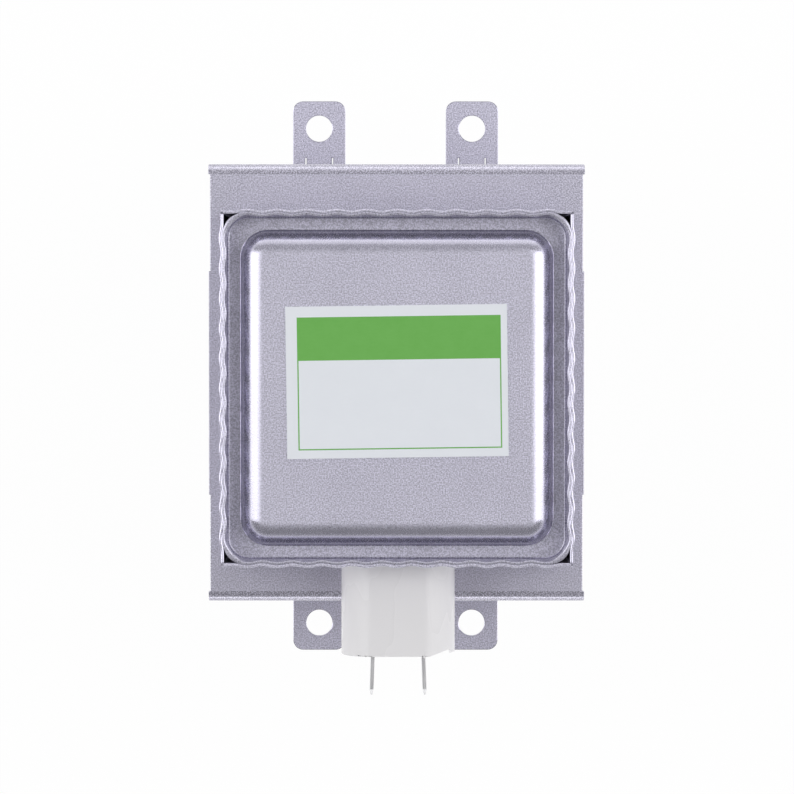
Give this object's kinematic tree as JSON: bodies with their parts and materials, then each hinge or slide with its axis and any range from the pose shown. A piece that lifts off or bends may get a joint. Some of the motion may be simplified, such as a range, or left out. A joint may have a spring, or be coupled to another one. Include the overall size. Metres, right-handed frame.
{
  "type": "magnetron",
  "caption": "Packaged microwave-oven magnetron: finned tube and ring magnets in a steel yoke, with a crimped filter box, blade terminals, mounting lugs and an antenna.",
  "frame": {"origin": "on the tube's axis, in the face of the mounting plate that bolts to a waveguide, at the centre of the lug holes", "axes": "+Z along the tube's axis from the antenna to the filter box's lid, -Y towards the connector, +X to the right seen from the lid with the connector down"},
  "size_m": [0.0808, 0.1286, 0.1152],
  "materials": {
    "zinc_sheet": "zinc-coated sheet steel, satin",
    "bright_metal": "tinned steel, smooth",
    "fin_aluminium": "rolled sheet",
    "ferrite": "ground ferrite, matt",
    "copper": "copper, satin",
    "soft_iron": "plated iron, satin",
    "cathode_metal": "refractory metal, satin",
    "pipe_steel": "drawn steel, smooth",
    "tube_ceramic": "fired alumina, matt",
    "wire_mesh": "knitted steel wire",
    "choke_wire": "enamelled copper wire, gloss",
    "case_plastic": "moulded, satin",
    "label_paper": "printed paper, satin"
  },
  "bodies": {
    "root": {"mounting_plate": "zinc_sheet", "yoke": "zinc_sheet", "filter_box": "zinc_sheet", "filter_box_lid": "zinc_sheet", "stem_terminal_1": "bright_metal", "stem_terminal_2": "bright_metal", "capacitor_flange": "bright_metal", "terminal_blade_1": "bright_metal", "terminal_blade_2": "bright_metal", "flange_rivets": "bright_metal", "box_rivets": "bright_metal", "cooling_fin_1": "fin_aluminium", "cooling_fin_2": "fin_aluminium", "cooling_fin_3": "fin_aluminium", "cooling_fin_4": "fin_aluminium", "cooling_fin_5": "fin_aluminium", "cooling_fin_6": "fin_aluminium", "output_magnet": "ferrite", "input_magnet": "ferrite", "choke_core_1": "ferrite", "choke_core_2": "ferrite", "anode_cylinder": "copper", "anode_vane_1": "copper", "anode_vane_2": "copper", "anode_vane_3": "copper", "anode_vane_4": "copper", "anode_vane_5": "copper", "anode_vane_6": "copper", "anode_vane_7": "copper", "anode_vane_8": "copper", "anode_vane_9": "copper", "anode_vane_10": "copper", "output_strap_inner": "copper", "output_strap_outer": "copper", "input_strap_inner": "copper", "input_strap_outer": "copper", "exhaust_tube": "copper", "antenna_lead": "copper", "output_pole_piece": "soft_iron", "input_pole_piece": "soft_iron", "filament": "cathode_metal", "output_end_hat": "cathode_metal", "input_end_hat": "cathode_metal", "centre_lead": "cathode_metal", "side_lead": "cathode_metal", "output_pipe": "pipe_steel", "input_pipe": "pipe_steel", "antenna_cap": "pipe_steel", "output_ceramic": "tube_ceramic", "stem_ceramic": "tube_ceramic", "rf_gasket": "wire_mesh", "choke_coil_1": "choke_wire", "choke_coil_2": "choke_wire", "capacitor_case": "case_plastic", "capacitor_inner_case": "case_plastic", "rating_label": "label_paper"}
  },
  "joints": []
}
